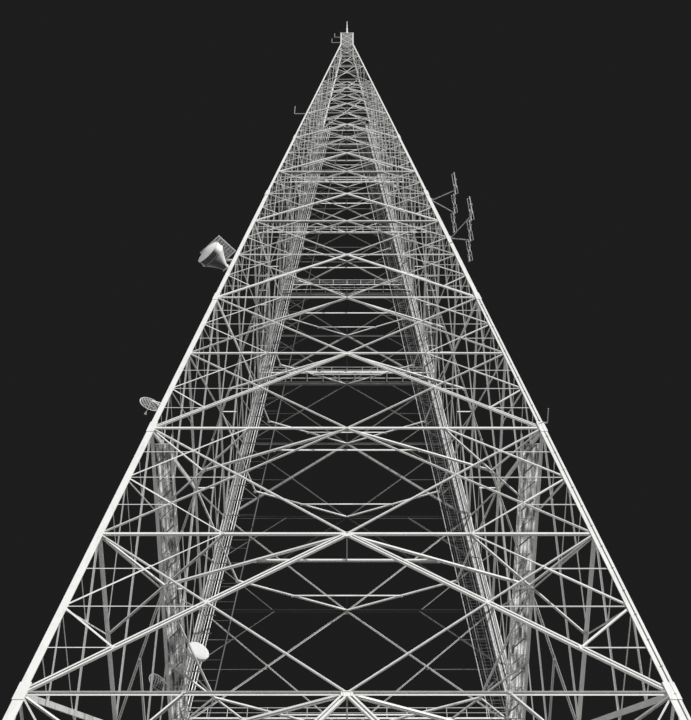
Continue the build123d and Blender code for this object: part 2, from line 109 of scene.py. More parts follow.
def levels(start, ratio, count):
    """Heights of the levels of one tier, its foot included."""
    found = [start]
    for _ in range(count):
        found.append(found[-1] + ratio * half_width(found[-1]))
    return found


lower_levels = [portal_height] + levels(2 * portal_height, 1.0, lower_panels)
middle_levels = levels(lower_levels[-1], 1.0, middle_panels)
top_levels = levels(middle_levels[-1], top_panel_ratio, top_panels)
taper_top = top_levels[-1]
crown_half = half_width(taper_top)

# --- mesh building
class Steel:
    """A mesh of many prisms, all in the tower's own axes."""

    def __init__(self):
        self.points = []
        self.faces = []

    def loft(self, first, last):
        """Closed prism between two rings of the same number of points."""
        start = len(self.points)
        count = len(first)
        self.points += list(first) + list(last)
        for index in range(count):
            after = (index + 1) % count
            self.faces.append((start + index, start + after,
                               start + count + after, start + count + index))
        self.faces.append(tuple(start + index for index in reversed(range(count))))
        self.faces.append(tuple(start + count + index for index in range(count)))

    def member(self, start, end, section, out):
        """A rolled section between two points: u runs across it, v towards out."""
        along = (end - start).normalized()
        across = out.cross(along).normalized()
        up = along.cross(across)
        self.loft([start + across * u + up * v for u, v in section],
                  [end + across * u + up * v for u, v in section])

    def plate(self, outline, thickness, out):
        """A flat plate: its outline, thickened towards out."""
        self.loft(outline, [point + out * thickness for point in outline])

    def block(self, centre, size):
        """A box with its edges along the axes."""
        x, y, z = (part / 2 for part in size)
        ring = [centre + Vector((a * x, b * y, -z)) for a, b in corner_signs]
        self.loft(ring, [point + up_axis * 2 * z for point in ring])

    def rod(self, start, end, radius, sides=8, end_radius=None):
        """A round bar, or a taper where the end has its own radius."""
        along = (end - start).normalized()
        helper = up_axis if abs(along.z) < 0.9 else Vector((1, 0, 0))
        across = helper.cross(along).normalized()
        up = along.cross(across)
        circle = [across * cos(tau * index / sides) + up * sin(tau * index / sides)
                  for index in range(sides)]
        tip = radius if end_radius is None else end_radius
        self.loft([start + point * radius for point in circle],
                  [end + point * tip for point in circle])

    def tube(self, path, radius, sides=6):
        """Round bars joined end to end along a path."""
        for start, end in zip(path, path[1:]):
            self.rod(start, end, radius, sides)

    def bolt(self, place, out, size):
        """A hexagon head on a washer."""
        self.rod(place, place + out * size * 0.25, size * 0.75, 8)
        self.rod(place + out * size * 0.25, place + out * size * 0.9, size * 0.5, 6)

    def make(self, name, material, slot, stands_for=(), quarter_turns=0, smooth=False):
        """Set the mesh down as a named piece, turned about the tower's axis."""
        place = Matrix.Translation(axis) @ Matrix.Rotation(quarter_turns * pi / 2, 4, "Z")
        mesh = bpy.data.meshes.new(name)
        mesh.from_pydata([place @ point for point in self.points], [], self.faces)
        mesh.validate()
        shape = bmesh.new()
        shape.from_mesh(mesh)
        bmesh.ops.recalc_face_normals(shape, faces=shape.faces)
        shape.to_mesh(mesh)
        shape.free()
        if smooth:
            mesh.shade_smooth()
            mesh.set_sharp_from_angle(angle=radians(40))
        mesh.materials.append(material)
        piece = add_object(name, mesh)
        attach(piece, "root")
        if stands_for:
            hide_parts(*stands_for)


def channel(width, depth, wall):
    """Channel section, open towards the outside."""
    half = width / 2
    return [(-half, 0), (-half + wall, 0), (-half + wall, -depth + wall),
            (half - wall, -depth + wall), (half - wall, 0), (half, 0),
            (half, -depth), (-half, -depth)]


def angle(width, depth, wall):
    """Angle section, one flange flat in the face and one that runs inwards."""
    half = width / 2
    return [(-half, 0), (half, 0), (half, -depth), (half - wall, -depth),
            (half - wall, -wall), (-half, -wall)]


def half_lipped(hand, width, depth, wall, lip):
    """One half of a built-up arm: an outer lip and a side plate that runs inwards."""
    edge = hand * width / 2
    return [(edge, 0), (edge - hand * lip, 0), (edge - hand * lip, -wall),
            (edge - hand * wall, -wall), (edge - hand * wall, -depth), (edge, -depth)]


# --- materials
class Shading:
    """The node tree of a material or a world."""

    def __init__(self, owner):
        owner.use_nodes = True
        self.nodes = owner.node_tree.nodes
        self.links = owner.node_tree.links

    def put(self, socket, value):
        """Link a socket to another node's output, or set its constant."""
        if isinstance(value, bpy.types.NodeSocket):
            self.links.new(value, socket)
        else:
            socket.default_value = value

    def add(self, kind, inputs=None, **settings):
        """A new node: its settings, and what goes into its sockets."""
        node = self.nodes.new("ShaderNode" + kind)
        for name, value in settings.items():
            setattr(node, name, value)
        for name, value in (inputs or {}).items():
            self.put(node.inputs[name], value)
        return node

    def noise(self, scale, detail, place):
        """Noise of one size at a place."""
        return self.add("TexNoise", {"Scale": scale, "Detail": detail, "Roughness": 0.6,
                                     "Vector": place}).outputs["Fac"]

    def spread(self, value, low, high, to_low, to_high):
        """A value between low and high, spread from to_low to to_high."""
        return self.add("MapRange", {"From Min": low, "From Max": high, "To Min": to_low,
                                     "To Max": to_high, "Value": value}).outputs["Result"]

    def mix(self, factor, first, second):
        """The first colour where factor is 0, and the second where it is 1."""
        node = self.add("Mix", {"Factor": factor}, data_type="RGBA")
        for socket, colour in ((node.inputs[6], first), (node.inputs[7], second)):
            self.put(socket, (*colour, 1) if isinstance(colour, tuple) else colour)
        return node.outputs[2]

    def seen_rays(self):
        """One for rays that show the background: camera, glossy and transmission rays."""
        path = self.add("LightPath")
        seen = path.outputs["Is Camera Ray"]
        for kind in ("Is Glossy Ray", "Is Transmission Ray"):
            seen = self.add("Math", {0: seen, 1: path.outputs[kind]},
                            operation="MAXIMUM").outputs["Value"]
        return seen


def weathered(name, colour, dark, roughness, grime=0.3, fine=500.0):
    """Painted or galvanised steel: cloudy tone, fine spangle, run-off streaks, dull wear."""
    material = bpy.data.materials.new(name)
    tree = Shading(material)
    shader = tree.nodes["Principled BSDF"]
    place = tree.add("TexCoord").outputs["Object"]
    stretched = tree.add("Mapping", {"Scale": (1, 1, 0.12), "Vector": place}).outputs["Vector"]
    clouds = tree.noise(7.0, 6, place)
    streaks = tree.noise(60.0, 5, stretched)
    spangle = tree.noise(fine, 3, place)
    cloudy, worn = (tuple(part * share for part in colour) for share in (0.9, 0.82))
    toned = tree.mix(tree.spread(clouds, 0.35, 0.65, 0, 1), cloudy, colour)
    speckled = tree.mix(tree.spread(spangle, 0.3, 0.7, 0, 0.35), toned, worn)
    grimy = tree.mix(tree.spread(streaks, 0.52, 0.78, 0, grime), speckled, dark)
    tree.put(shader.inputs["Base Color"], grimy)
    tree.put(shader.inputs["Roughness"],
             tree.spread(spangle, 0.25, 0.75, roughness - 0.12, roughness + 0.16))
    bump = tree.add("Bump", {"Strength": 0.25, "Distance": 0.0006, "Height": spangle})
    tree.put(shader.inputs["Normal"], bump.outputs["Normal"])
    return material


tower_steel = weathered("tower_steel", (0.80, 0.80, 0.78), (0.30, 0.29, 0.27), 0.50)
# Painted shade: the next two steels are dark copies of the tower steel, put on far-face members
# that lie in shade
shaded_steel = weathered("shaded_steel", (0.26, 0.26, 0.25), (0.10, 0.10, 0.10), 0.55)
shade_painted_steel = weathered("shade_painted_steel", (0.055, 0.055, 0.053), (0.02, 0.02, 0.02), 0.6)
foot_steel = weathered("foot_steel", (0.72, 0.72, 0.70), (0.24, 0.22, 0.20), 0.58, 0.5)
grating_steel = weathered("grating", (0.62, 0.63, 0.63), (0.22, 0.22, 0.22), 0.5, 0.4)
railing_steel = weathered("railing_steel", (0.78, 0.78, 0.77), (0.30, 0.30, 0.29), 0.45)
antenna_white = weathered("antenna_white", (0.88, 0.88, 0.87), (0.50, 0.49, 0.47), 0.38, 0.25,
                          180.0)
antenna_grey = weathered("antenna_grey", (0.45, 0.46, 0.47), (0.22, 0.22, 0.22), 0.4)
# Dark grey: the cables' own colour, and painted shade on the ladders, the cage's straps and hoops,
# the cable clamps and the walkways' plates
cable_grey = weathered("cable_grey", (0.16, 0.16, 0.16), (0.05, 0.05, 0.05), 0.5, 0.5)
radome_grey = weathered("radome_grey", (0.62, 0.62, 0.61), (0.42, 0.42, 0.40), 0.45, 0.25,
                        180.0)
dull_aluminium = weathered("dull_aluminium", (0.34, 0.35, 0.35), (0.15, 0.15, 0.15), 0.5)
materials = {"tower_steel": tower_steel, "foot_steel": foot_steel, "grating": grating_steel,
             "railing_steel": railing_steel, "antenna_white": antenna_white,
             "antenna_grey": antenna_grey, "cable_grey": cable_grey}

# Expanded metal: diamond holes cut by crossed waves, and light that comes through it
deck_mesh = weathered("deck_mesh", (0.86, 0.86, 0.84), (0.40, 0.40, 0.38), 0.5, 0.6)
mesh_tree = Shading(deck_mesh)
mesh_place = mesh_tree.add("TexCoord").outputs["Object"]
hole_waves = {}
for index, turn in enumerate((-35, 35)):
    turned_map = mesh_tree.add("Mapping", {"Rotation": (0, 0, radians(turn)),
                                           "Vector": mesh_place})
    wave = mesh_tree.add("TexWave", {"Scale": 45.0, "Vector": turned_map.outputs["Vector"]})
    hole_waves[index] = wave.outputs["Fac"]
hole_depth = mesh_tree.add("Math", hole_waves, operation="MINIMUM")
hole = mesh_tree.add("Math", {0: hole_depth.outputs["Value"], 1: 0.55},
                     operation="GREATER_THAN")
streak_map = mesh_tree.add("Mapping", {"Scale": (1.0, 0.16, 1.0), "Vector": mesh_place})
patches = mesh_tree.add("TexNoise", {"Scale": 52.0, "Detail": 4.0,
                                     "Vector": streak_map.outputs["Vector"]})
glow = mesh_tree.add("BsdfTranslucent", {
    "Color": mesh_tree.spread(patches.outputs["Fac"], 0.38, 0.62, 0.15, 1.0)})
solid = mesh_tree.add("MixShader", {
    "Fac": 0.95, 1: mesh_tree.nodes["Principled BSDF"].outputs["BSDF"], 2: glow.outputs["BSDF"]})
clear = mesh_tree.add("BsdfTransparent")
cut = mesh_tree.add("MixShader", {"Fac": hole.outputs["Value"], 1: solid.outputs["Shader"],
                                  2: clear.outputs["BSDF"]})
mesh_tree.put(mesh_tree.nodes["Material Output"].inputs["Surface"], cut.outputs["Shader"])

for part in frame["record"]["subparts"]:
    node = nodes[part["node"]]
    node.data.materials.clear()
    node.data.materials.append(materials[part["material_slot"]])

# --- face steel
bracing_depth = 0.005  # from the outer face to the outer side of the bars
layer = 0.001  # by which crossing members lie behind each other
lower_depth, middle_depth = 0.010, 0.007  # of the two tiers' sections
arm_wall, twin_wall, chord_wall = 0.0012, 0.001, 0.0014
web_gap, webs_apart = 0.004, 5.5  # between an arm's web plates, and in arm widths
lower_lip, middle_lip = 0.34, 0.48  # of an arm's lips, in shares of its width
gusset_thickness, bolt_size = 0.0010, 0.0028
# Widths at the second level and at the top panels
rising_arm, falling_arm, thin_arm = (0.026, 0.009), (0.010, 0.004), (0.0070, 0.0022)
chord_over_rising, chord_over_falling = (0.017, 0.0045), (0.021, 0.006)
chord_ledge = 0.022


def across(x, height, depth=bracing_depth):
    """A point of the front face, at a distance from its middle."""
    return Vector((x, -half_width(height) + depth * lean, height))


def meet(first, second):
    """Where two lines of the face cross, each given by two (x, height) points."""
    (x1, z1), (x2, z2) = first
    (x3, z3), (x4, z4) = second
    scale = (x1 - x2) * (z3 - z4) - (z1 - z2) * (x3 - x4)
    a = x1 * z2 - z1 * x2
    b = x3 * z4 - z3 * x4
    return ((a * (x3 - x4) - (x1 - x2) * b) / scale, (a * (z3 - z4) - (z1 - z2) * b) / scale)


def gusset(steel, x, height, size, rows=2):
    """An eight-sided plate where members meet, as wide as size, with its bolts."""
    ring = [across(x + wide * size, height + tall * size) for wide, tall in
            ((0.5, 0.22), (0.3, 0.4), (-0.3, 0.4), (-0.5, 0.22),
             (-0.5, -0.22), (-0.3, -0.4), (0.3, -0.4), (0.5, -0.22))]
    steel.plate(ring, gusset_thickness, outwards)
    for column in (-1, 1):
        for row in range(rows):
            rise = (row - (rows - 1) / 2) * size * 0.24
            place = across(x + column * size * 0.3, height + rise)
            steel.bolt(place + outwards * gusset_thickness, outwards, bolt_size)


def arm(steel, start, end, width, depth, lip, web_length):
    """Heavy arm: two lipped halves, joined by web plates along the inner side."""
    first, last = across(*start), across(*end)
    run = last - first
    along = run.normalized()
    side = outwards.cross(along).normalized()
    for hand in (-1, 1):
        steel.member(first, last, half_lipped(hand, width, depth, arm_wall, lip), outwards)
    count = max(int(run.length / web_length), 1)
    half_long = (run.length / count - web_gap) / 2
    for index in range(count):
        middle = first + run * (index + 0.5) / count - outwards * depth
        ring = [middle + along * a * half_long + side * b * width / 2
                for a, b in corner_signs]
        steel.plate(ring, arm_wall, -outwards)


def twin(steel, start, end, width, depth):
    """Two angles back to back with a gap between them."""
    gap = width * 0.22
    first, last = across(*start), across(*end)
    for hand in (-1, 1):
        inner, outer = hand * gap / 2, hand * width / 2
        leaf = inner + hand * twin_wall
        section = [(inner, 0), (outer, 0), (outer, -twin_wall), (leaf, -twin_wall),
                   (leaf, -depth), (inner, -depth)]
        steel.member(first, last, section, outwards)


def light(steel, start, end, width, inner=0.0):
    """A single angle in the face, from one (x, height) to another."""
    first = across(*start, bracing_depth + inner)
    last = across(*end, bracing_depth + inner)
    steel.member(first, last, angle(width, width * 0.75, width * 0.16), outwards)


def panel(arms, slims, fine, foot, apex, main, thin, depth, lip_share):
    """One panel: arms from the legs at foot to the chord's middle at apex, thin arms across.

    Where the arms rise they are built up. The thin arms go to slims, and the redundant
    members and plates to fine."""
    rise = apex - foot
    built_up = rise > 0

    def leg_at(share):
        """Point on the leg's work line, a share of the way from foot to apex."""
        height = foot + share * rise
        return (leg_line(height), height)

    foot_x, apex_x = leg_at(0)[0], leg_at(1)[0]
    slim = ((apex_x, apex), (0, foot))
    crossing = meet(((foot_x, foot), (0, apex)), slim)
    middle, upper = leg_at(0.5), leg_at(0.75)
    quarter = (apex_x / 2, apex)
    low_on_heavy = (foot_x * 0.75, foot + 0.25 * rise)
    high_on_slim = meet((middle, quarter), slim)
    far_end = low_on_heavy if built_up else (foot_x / 2, foot)
    strut, tie, plate = thin * 1.4, thin * 0.75, main * 1.5
    redundants = ((middle, high_on_slim, strut, 1), (high_on_slim, quarter, strut * 0.7, 1),
                  (middle, far_end, strut, 1), (upper, (high_on_slim[0], upper[1]), tie, 2),
                  (leg_at(0.25), low_on_heavy, tie, 2), (middle, (crossing[0], middle[1]), tie, 2))
    plates = (((foot_x - plate * 0.3, foot), 1), (crossing, 0.7),
              ((middle[0] - plate * 0.2, middle[1]), 0.8), (low_on_heavy, 0.6),
              (high_on_slim, 0.5), (quarter, 0.5))
    for hand in (-1, 1):
        def turned(point):
            return (hand * point[0], point[1])

        if built_up:
            arm(arms, (hand * foot_x, foot), (0, apex), main, depth, main * lip_share,
                main * webs_apart)
        else:
            twin(arms, (hand * foot_x, foot), (0, apex), main, depth)
        twin(slims, turned(slim[0]), turned(slim[1]), thin, depth)
        for start, end, width, layers in redundants:
            light(fine, turned(start), turned(end), width, layers * layer)
        for place, share in plates:
            gusset(fine, *turned(place), plate * share)
    gusset(fine, 0, apex - copysign(main * 0.4, rise), main * 1.9, 3)


def chord(steel, height, width, depth):
    """A level member from leg to leg."""
    x = leg_line(height)
    steel.member(across(-x, height), across(x, height), angle(width, depth, chord_wall),
                 outwards)


def capped_chord(steel, height):
    """The second level's chord: an upright web set back under a flange that stands out."""
    x = leg_line(height)
    web_depth, web_height, web_ledge = 0.011, 0.015, 0.004
    flange_front, flange_back, flange_thickness = 0.001, 0.014, 0.0015
    steel.member(across(-x, height - web_height / 2, web_depth),
                 across(x, height - web_height / 2, web_depth),
                 angle(web_height, web_ledge, chord_wall), outwards)
    corners = [across(hand * x, height, depth) for depth, hand in
               ((flange_front, -1), (flange_front, 1), (flange_back, 1), (flange_back, -1))]
    steel.plate(corners, flange_thickness, up_axis)


def taper(height, near, far):
    """A size that goes from near, at the second level, to far, at the top panels."""
    share = (height - lower_levels[1]) / (middle_levels[-1] - lower_levels[1])
    return near + (far - near) * min(max(share, 0), 1)


# The third lattice is painted in shade on the far face: the chords of the two highest lower levels
# and the slim arms between them
lower_lattice, lower_fine, back_shade_lattice = Steel(), Steel(), Steel()
bold_arms, slim_arms = Steel(), Steel()
middle_lattice, middle_fine = Steel(), Steel()
slim_arm_width, halfway_tie = 0.011, 0.005
tier_levels = lower_levels + middle_levels[1:]
for index, (bottom, top) in enumerate(zip(tier_levels, tier_levels[1:])):
    upwards = index == 0 or index % 2 == 1
    foot, apex = (bottom, top) if upwards else (top, bottom)
    lower = top <= lower_levels[-1]
    lattice, fine = (lower_lattice, lower_fine) if lower else (middle_lattice, middle_fine)
    depth = lower_depth if lower else middle_depth
    slims = back_shade_lattice if bottom == lower_levels[4] else lattice
    over_walkway = bottom == lower_levels[3]
    panel(bold_arms if over_walkway else lattice, slims, fine, foot, apex,
          taper(bottom, *(rising_arm if upwards else falling_arm)), taper(bottom, *thin_arm),
          depth, lower_lip if lower else middle_lip)
    if over_walkway:
        for hand in (-1, 1):
            twin(slim_arms, (hand * leg_line(foot), foot), (0, apex), slim_arm_width, depth)
    if bottom >= middle_levels[5]:
        halfway = (bottom + top) / 2
        light(fine, (-leg_line(halfway), halfway), (leg_line(halfway), halfway), halfway_tie)
    if index == 0:
        capped_chord(lattice, top)
        continue
    ledge = chord_ledge * (half_width(top) / half_width(lower_levels[1])) ** 1.6
    chord(back_shade_lattice if top in lower_levels[4:] else lattice, top,
          taper(top, *(chord_over_rising if upwards else chord_over_falling)), ledge)

top_lattice = Steel()
top_bar, top_tie, top_gusset = 0.005, 0.004, 0.014
top_chord, top_ledge = 0.006, 0.007
for bottom, top in zip(top_levels, top_levels[1:]):
    low_x, high_x = leg_line(bottom), leg_line(top)
    falling = ((-high_x, top), (low_x, bottom))
    rising = ((-low_x, bottom), (high_x, top))
    light(top_lattice, *rising, top_bar)
    light(top_lattice, *falling, top_bar, layer)
    chord(top_lattice, top, top_chord, top_ledge)
    crossing = meet(rising, falling)
    beside = leg_line(crossing[1])
    light(top_lattice, (-beside, crossing[1]), (beside, crossing[1]), top_tie, 2 * layer)
    gusset(top_lattice, 0, crossing[1], top_gusset)

portal_lattice, portal_fine = Steel(), Steel()
portal_foot, portal_bar = 0.035, 0.008
portal_arm, portal_lip, portal_web = 0.026, 0.009, 0.143
portal_chord, portal_ledge = 0.020, 0.026
plate_inset, leg_plate, arm_plate, middle_plate = 0.012, 0.03, 0.026, 0.09
for hand in (-1, 1):
    foot_x = leg_line(portal_foot)
    arm(portal_lattice, (hand * foot_x, portal_foot), (0, portal_height), portal_arm,
        lower_depth, portal_lip, portal_web)

    def on_arm(height):
        """Point of the portal's arm at a height, taken from its foot on the floor."""
        return (hand * foot_x * (1 - height / portal_height), height)

    for quarters in (1, 2, 3):
        height = quarters * portal_height / 4
        leg_x = leg_line(height)
        light(portal_fine, (hand * leg_x, height), on_arm(height), portal_bar)
        if quarters > 1:
            light(portal_fine, (hand * leg_x, height), on_arm(height - portal_height / 4),
                  portal_bar, layer)
        gusset(portal_fine, hand * (leg_x - plate_inset), height, leg_plate)
        gusset(portal_fine, *on_arm(height), arm_plate)
gusset(portal_fine, 0, portal_height - plate_inset, middle_plate, 3)
chord(portal_lattice, portal_height, portal_chord, portal_ledge)

crown_lattice = Steel()
crown_step = crown_height / crown_panels
crown_inset, tie_drop = 0.008, 0.003
crown_inner = crown_half - crown_inset
crown_bar, crown_tie = angle(0.005, 0.004, 0.001), angle(0.006, 0.004, 0.001)
crown_out = Vector((0, -1, 0))


def on_crown(x, height):
    """A point of the crown's front face."""
    return Vector((x, -crown_half + leg_thickness, height))


for index in range(crown_panels):
    bottom = taper_top + index * crown_step
    tie_height = bottom + crown_step - tie_drop
    for hand in (-1, 1):
        crown_lattice.member(on_crown(-hand * crown_inner, bottom),
                             on_crown(hand * crown_inner, bottom + crown_step),
                             crown_bar, crown_out)
    crown_lattice.member(on_crown(-crown_inner, tie_height), on_crown(crown_inner, tie_height),
                         crown_tie, crown_out)

# The far face is painted in shade: darker middle arms, finer members and upper chords; slim
# walkway arms
for turn, face in enumerate(("front", "right", "back", "left")):
    far = face == "back"

    def set_down(steel, part, look, stands_for=()):
        steel.make(f"{face}_{part}", look, "tower_steel", stands_for, turn)

    for tier, arms, fine in (("portal", portal_lattice, portal_fine),
                             ("lower", lower_lattice, lower_fine),
                             ("middle", middle_lattice, middle_fine),
                             ("top", top_lattice, None), ("crown", crown_lattice, None)):
        stands_for = f"{face}_portal" if tier == "portal" else f"{face}_{tier}_bracing"
        set_down(arms, f"{tier}_arms", shaded_steel if far and tier == "middle" else tower_steel,
                 (stands_for,))
        if fine:
            shaded = far and tier in ("lower", "middle")
            set_down(fine, f"{tier}_redundants", shaded_steel if shaded else tower_steel)
    set_down(back_shade_lattice, "upper_chords", shade_painted_steel if far else tower_steel)
    set_down(slim_arms if far else bold_arms, "walkway_arms", tower_steel)

# --- level frames
star_point = 0.75  # of the star's knots, in shares of the half width
frame_half_depth = 0.006
bar_wall, knot_plate = 0.0012, 0.0015
frame_clearance = 0.0003
long_width, short_width, corner_width = 0.015, 0.011, 0.009
wide_tie, narrow_tie = 0.012, 0.0045
outer_knot, inner_knot = 0.024, 0.018
walkway_levels = (lower_levels[3], middle_levels[2], middle_levels[4])


def inner_half(height, depth):
    """Half width of the clear space inside the face bracing."""
    return half_width(height) - (leg_thickness + depth) * lean


def level_bar(steel, start, end, width, height):
    """Two angles side by side under a level frame, seen from below as two strips."""
    first = Vector((*start, height + frame_half_depth))
    last = Vector((*end, height + frame_half_depth))
    gap, deep = width * 0.2, -2 * frame_half_depth
    for hand in (-1, 1):
        inner, outer = hand * gap / 2, hand * width / 2
        leaf = outer - hand * bar_wall
        section = [(inner, 0), (outer, 0), (outer, deep), (leaf, deep), (leaf, -bar_wall),
                   (inner, -bar_wall)]
        steel.member(first, last, section, up_axis)


def star(height, depth, corners, tie_width):
    """Plan bracing of one level, and the ties that stay its long bars."""
    steel = Steel()
    half = inner_half(height, depth) - frame_clearance
    knot = star_point * half
    slim = (half / half_width(lower_levels[1])) ** 1.5
    long_bar, short_bar, corner_bar, tie = (
        slim * width for width in (long_width, short_width, corner_width, tie_width))
    inner_y = -(half + knot) / 2
    for turn in range(4):
        spin = Matrix.Rotation(turn * pi / 2, 2)

        def turned(x, y):
            return tuple(spin @ Vector((x, y)))

        for hand in (-1, 1):
            level_bar(steel, turned(0, -half), turned(hand * knot, -knot), long_bar, height)
            if corners:
                level_bar(steel, turned(hand * half / 2, -half), turned(hand * knot, -knot),
                          short_bar, height)
        if corners:
            level_bar(steel, turned(half, -half), turned(knot, -knot), corner_bar, height)
        level_bar(steel, turned(-knot / 2, inner_y), turned(knot / 2, inner_y), tie, height)
        level_bar(steel, turned(0, -half), turned(0, inner_y), tie / 2, height)
        for x, y, size in ((knot, -knot, outer_knot), (knot / 2, inner_y, inner_knot),
                           (-knot / 2, inner_y, inner_knot)):
            place = Vector((*turned(x, y), height - frame_half_depth))
            ring = [place + Vector((cos(tau * step / 8), sin(tau * step / 8), 0)) * size / 2
                    for step in range(8)]
            steel.plate(ring, knot_plate, -up_axis)
    return steel


framed = (portal_height, *lower_levels[1:6:2], *middle_levels[2:5:2])
for index, height in enumerate(tier_levels):
    stands_for = (f"level_frame_{framed.index(height) + 1}",) if height in framed else ()
    star(height, lower_depth if height <= lower_levels[-1] else middle_depth,
         height <= lower_levels[3],
         wide_tie if height < lower_levels[3] else narrow_tie).make(
             f"plan_bracing_{index}", tower_steel, "tower_steel", stands_for)

# --- walkways
deck_thickness, deck_width = 0.006, 0.095
bearer_pitch, bearer_inset = 0.118, 0.003
railing_height = 0.100
rail_radius, mid_rail_radius, post_radius = 0.003, 0.0020, 0.002
mid_rail_rise, toe_board, toe_half = 0.052, 0.010, 0.0008
# Width and height of a deck's bars, and the larger ones of the middle walkway's back
plain_bars = {"stringer": (0.004, deck_thickness), "bearer": (0.003, deck_thickness)}
large_bars = {"stringer": (0.006, 0.016), "bearer": (0.006, 0.012)}
lengthwise_bar, mesh_thickness = 0.0022, 0.0012
# Painted shadow: a dark strip along the outer edge of the front and back decks, and dark slashes
# under the side decks
shadow_strip, shadow_strip_inset = 0.012, 0.010
shadow_slashes, slash_thickness, slash_drop = (0.004, 0.008), 0.002, 0.001


def walkway(steel, mesh, plates, level, depth, sides):
    """Decks between stringers: mesh on the lower sides, open frames at front and back."""
    under = level + frame_half_depth
    outer = inner_half(under + deck_thickness, depth) - frame_clearance
    inner = outer - deck_width
    mid = under + deck_thickness / 2
    for turn in sides:
        spin = Matrix.Rotation(turn * pi / 2, 3, "Z")

        def beam(made, start, end, wide, tall, height):
            (x1, y1), (x2, y2) = start, end
            run = Vector((x2 - x1, y2 - y1, 0)).normalized()
            side = Vector((run.y, -run.x, 0))
            ring = [spin @ (Vector((x, y, height - tall / 2)) + side * edge * wide / 2)
                    for x, y, edge in ((x1, y1, -1), (x1, y1, 1), (x2, y2, 1), (x2, y2, -1))]
            made.plate(ring, tall, up_axis)

        at_side = turn % 2 == 1
        end = inner if at_side else outer
        bars = large_bars if turn == 2 and level == walkway_levels[1] else plain_bars
        wide, tall = bars["stringer"]
        for offset in (wide / 2, deck_width - wide / 2):
            beam(steel, (-end, -outer + offset), (end, -outer + offset), wide, tall,
                 under + tall / 2)
        lengthwise = (0.2, 0.4, 0.6, 0.8) if at_side else (0.5,)
        if at_side and level == walkway_levels[0]:
            ring = [spin @ Vector((x, y, mid)) for x, y in
                    ((-end, -outer), (end, -outer), (end, -inner), (-end, -inner))]
            mesh.plate(ring, mesh_thickness, up_axis)
        elif not at_side:
            # Painted shadow: a dark strip along the deck's outer edge
            y = -outer + shadow_strip_inset
            beam(plates, (-end, y), (end, y), shadow_strip, deck_thickness, mid)
        for share in lengthwise:
            y = -outer + share * deck_width
            beam(steel, (-end, y), (end, y), lengthwise_bar, deck_thickness, mid)
        bearers = int(2 * end / bearer_pitch)
        pitch = 2 * (end - bearer_inset) / bearers
        wide, tall = bars["bearer"]
        for index in range(bearers + 1):
            x = -end + bearer_inset + index * pitch
            beam(steel, (x, -outer), (x, -inner), wide, tall, under + tall / 2)
            # Painted shadows: dark slashes under the deck, between its bearers
            if index < bearers and at_side:
                beam(plates, (x, -outer * 0.98), (x + pitch * 0.6, -inner * 1.01),
                     shadow_slashes[index % 2], slash_thickness, under - slash_drop)
    return inner


every_side = (0, 1, 2, 3)
walks = (("lower", walkway_levels[0], lower_depth, (1, 2, 3), 0.9),
         ("middle", walkway_levels[1], middle_depth, every_side, 0.9),
         ("upper", walkway_levels[2], middle_depth, every_side, 1.0))
for name, level, depth, sides, stout in walks:
    deck, mesh, plates = Steel(), Steel(), Steel()
    run = walkway(deck, mesh, plates, level, depth, sides) + rail_radius
    if mesh.points:
        mesh.make(f"{name}_mesh", deck_mesh, "grating")
    # The walkway's plates are the painted shadow strips and slashes
    plates.make(f"{name}_plates", cable_grey, "grating")
    deck.make(f"{name}_grating", railing_steel, "grating", (f"{name}_walkway",))
    rails = Steel()
    deck_top = level + frame_half_depth + deck_thickness
    top_rise = railing_height - rail_radius * stout
    posts = round(2 * run / bearer_pitch)
    for turn in sides:
        spin = Matrix.Rotation(turn * pi / 2, 3, "Z")
        for rise, radius in ((top_rise, rail_radius), (mid_rail_rise, mid_rail_radius)):
            rails.rod(spin @ Vector((-run, -run, deck_top + rise)),
                      spin @ Vector((run, -run, deck_top + rise)), radius * stout, 6)
        toe = [spin @ Vector((a * run, -run + b * toe_half, deck_top))
               for a, b in corner_signs]
        rails.plate(toe, toe_board, up_axis)
        for index in range(posts + 1):
            place = spin @ Vector((2 * run * (index / posts - 0.5), -run, deck_top))
            rails.rod(place, place + up_axis * (railing_height - rail_radius),
                      post_radius * stout, 6)
    rails.make(f"{name}_rails", railing_steel, "railing_steel", (f"{name}_railing",))

# --- ladders
ladder_offset, ladder_depth = 0.090, 0.014
ladder_widths = {-1: 0.130, 1: 0.070}
ladder_foot = 0.024
ladder_rise = middle_levels[-1] - ladder_foot
stile_width, stile_wall = 0.005, 0.0012
rung_pitch, rung_radius, rung_inset, rung_inwards = 0.030, 0.0016, 0.003, 0.007
rung_steps = {-1: 6, 1: 1}  # the cable ladder has every sixth rung only
cage_foot, hoop_pitch = 0.22, 0.090
cage_reach, cage_overlap = 0.075, 0.035
hoop_radius, strap_radius, edge_radius = 0.0013, 0.0010, 0.0028
cable_count, cable_gap, cable_start, cable_inwards = 5, 0.019, 0.018, 0.003
thick_cable, thin_cable = 0.0030, 0.0018
dark_start, dark_gap, dark_inwards = 0.006, 0.010, 0.012
coaxial_radius, shadow_radius = 0.0026, 0.0024
clamp_pitch, clamp_radius, clamp_overhang, clamp_inwards = 0.170, 0.0062, 0.006, 0.006
# Offsets and radii of the mast lighting cables, with a dark rod beside each as its painted shadow
lighting_inwards, shadow_offset = 0.010, 0.006
lighting_runs = ((0.005, 0.0030), (0.016, 0.0018), (0.029, 0.0034), (0.046, 0.0020),
                 (0.060, 0.0030))


def ladder_line(side, offset, inwards):
    """Foot and top of a line up the back face, inwards of it by a distance."""
    lean_in = Vector((-side / rise_per_run, -1 / rise_per_run, 1)) * ladder_rise
    foot = Vector((side * (half_width(ladder_foot) - ladder_offset - offset),
                   inner_half(ladder_foot, lower_depth) - frame_clearance - inwards,
                   ladder_foot))
    return foot, foot + lean_in


